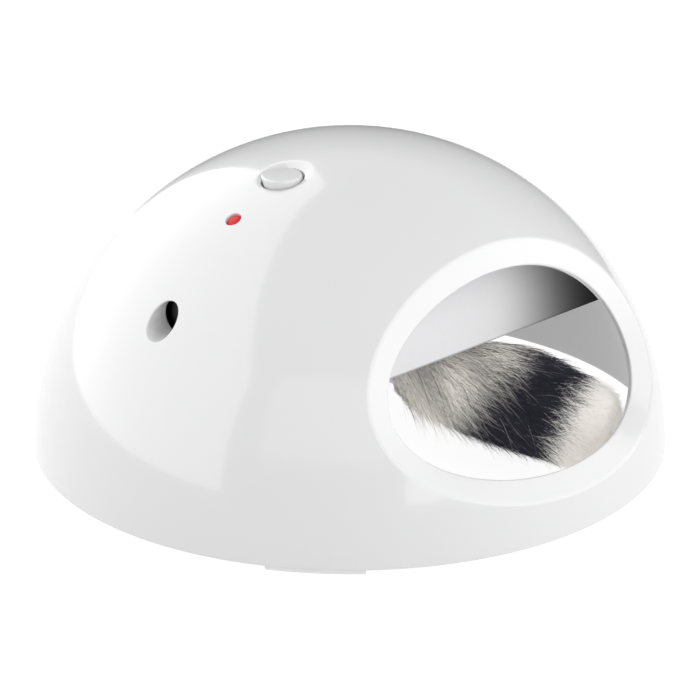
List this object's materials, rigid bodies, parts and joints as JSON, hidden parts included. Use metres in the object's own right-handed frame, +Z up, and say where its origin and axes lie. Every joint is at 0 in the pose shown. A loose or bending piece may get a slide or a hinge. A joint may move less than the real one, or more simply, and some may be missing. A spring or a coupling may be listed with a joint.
{
  "type": "automatic cat laser toy",
  "caption": "Glossy white dome that swings a laser dot from a port on its side and sweeps a fluffy fur tail past a wide oval window, with a power button and a red indicator light.",
  "frame": {"origin": "on the floor under the middle of the dome, at the soles of the feet", "axes": "+Z up through the dome's top, -Y the way the laser port looks, +X the way the tail window faces"},
  "size_m": [0.2399, 0.24, 0.1201],
  "materials": {
    "dome_plastic": "glossy white",
    "foot_rubber": "matt light grey",
    "tray_plastic": "satin light grey",
    "steel": "plain bright steel",
    "contact_metal": "plain",
    "cell_jacket": "smooth dark grey",
    "bush_plastic": "smooth dark",
    "gear_plastic": "smooth natural white",
    "motor_steel": "satin",
    "motor_cap_plastic": "satin black",
    "gearhead_metal": "satin",
    "tail_core_foam": "matt",
    "tail_collar_plastic": "matt",
    "fur": "long soft pile, grey brown with a black band and a cream tip",
    "head_plastic": "matt black",
    "barrel_metal": "black anodised",
    "lens_glass": "clear, faintly red",
    "board_laminate": "green solder mask",
    "chip_plastic": "matt black",
    "connector_plastic": "smooth off-white",
    "led_plastic": "clear red"
  },
  "bodies": {
    "housing": {"dome_shell": "dome_plastic", "foot_pad_front_left": "foot_rubber", "foot_pad_front_right": "foot_rubber", "foot_pad_rear_left": "foot_rubber", "foot_pad_rear_right": "foot_rubber", "core_tray": "tray_plastic", "tray_screws": "steel", "battery_box": "tray_plastic", "battery_cell_1": "cell_jacket", "battery_cell_2": "cell_jacket", "battery_cell_3": "cell_jacket", "battery_springs": "steel", "battery_contacts": "contact_metal", "shaft_bush_lower": "bush_plastic", "shaft_bush_upper": "bush_plastic", "gear_pins": "steel", "gear_cover": "tray_plastic", "cover_screws": "steel", "tail_motor": "motor_steel", "motor_end_cap": "motor_cap_plastic", "motor_terminals": "contact_metal", "motor_screws": "steel", "laser_bracket": "head_plastic", "bracket_screws": "steel", "pan_motor": "motor_steel", "pan_gearhead": "gearhead_metal", "pan_motor_clip": "steel", "control_board": "board_laminate", "board_screws": "steel", "controller_chip": "chip_plastic", "board_capacitor": "chip_plastic", "board_connector": "connector_plastic", "power_switch": "chip_plastic", "indicator_led": "led_plastic"},
    "rotor": {"output_shaft": "steel", "output_gear": "gear_plastic", "rotor_hub": "tray_plastic", "hub_screw": "steel", "tail_core": "tail_core_foam", "tail_collar": "tail_collar_plastic", "fur_tail": "fur"},
    "gear_b": {"compound_gear_b": "gear_plastic"},
    "gear_a": {"compound_gear_a": "gear_plastic"},
    "motor_rotor": {"motor_shaft": "steel", "motor_pinion": "gear_plastic"},
    "laser_head": {"laser_cradle": "head_plastic", "laser_barrel": "barrel_metal", "laser_lens": "lens_glass", "laser_pivot_pins": "steel"},
    "pan_rotor": {"pan_shaft": "steel", "pan_pinion": "gear_plastic"},
    "power_button": {"button_cap": "dome_plastic", "switch_plunger": "connector_plastic"},
    "battery_door": {"battery_door": "tray_plastic"}
  },
  "joints": [
    {"name": "tail_spin", "type": "hinge", "parent": "housing", "child": "rotor", "pos_m": [0, 0, 0.04], "axis": [0, 0, 1], "continuous": true},
    {"name": "gear_b_spin", "type": "hinge", "parent": "housing", "child": "gear_b", "pos_m": [0, 0.024, 0.06], "axis": [0, 0, 1], "continuous": true},
    {"name": "gear_a_spin", "type": "hinge", "parent": "housing", "child": "gear_a", "pos_m": [0.0144, 0.024, 0.06], "axis": [0, 0, 1], "continuous": true},
    {"name": "motor_spin", "type": "hinge", "parent": "housing", "child": "motor_rotor", "pos_m": [0.0144, 0.0384, 0.07], "axis": [0, 0, 1], "continuous": true},
    {"name": "laser_pan", "type": "hinge", "parent": "housing", "child": "laser_head", "pos_m": [0, -0.076, 0.0749], "axis": [0, 0, 1], "range_deg": [-12, 12]},
    {"name": "pan_pinion_spin", "type": "hinge", "parent": "housing", "child": "pan_rotor", "pos_m": [0, -0.0475, 0.0749], "axis": [0, 0, 1], "range_deg": [-124.8, 124.8]},
    {"name": "button_press", "type": "slide", "parent": "housing", "child": "power_button", "axis": [0, 0.2874, -0.9578], "range_m": [0, 0.0012], "stiffness_N_per_m": 2000, "springref_m": -0.0005},
    {"name": "battery_door_slide", "type": "slide", "parent": "housing", "child": "battery_door", "axis": [0, 1, 0], "range_m": [0, 0.008]}
  ],
  "couplings": [
    {"joint": "gear_b_spin", "follows": "tail_spin", "ratio": -4},
    {"joint": "gear_a_spin", "follows": "tail_spin", "ratio": 12},
    {"joint": "motor_spin", "follows": "tail_spin", "ratio": -36},
    {"joint": "pan_pinion_spin", "follows": "laser_pan", "ratio": -10.4}
  ]
}
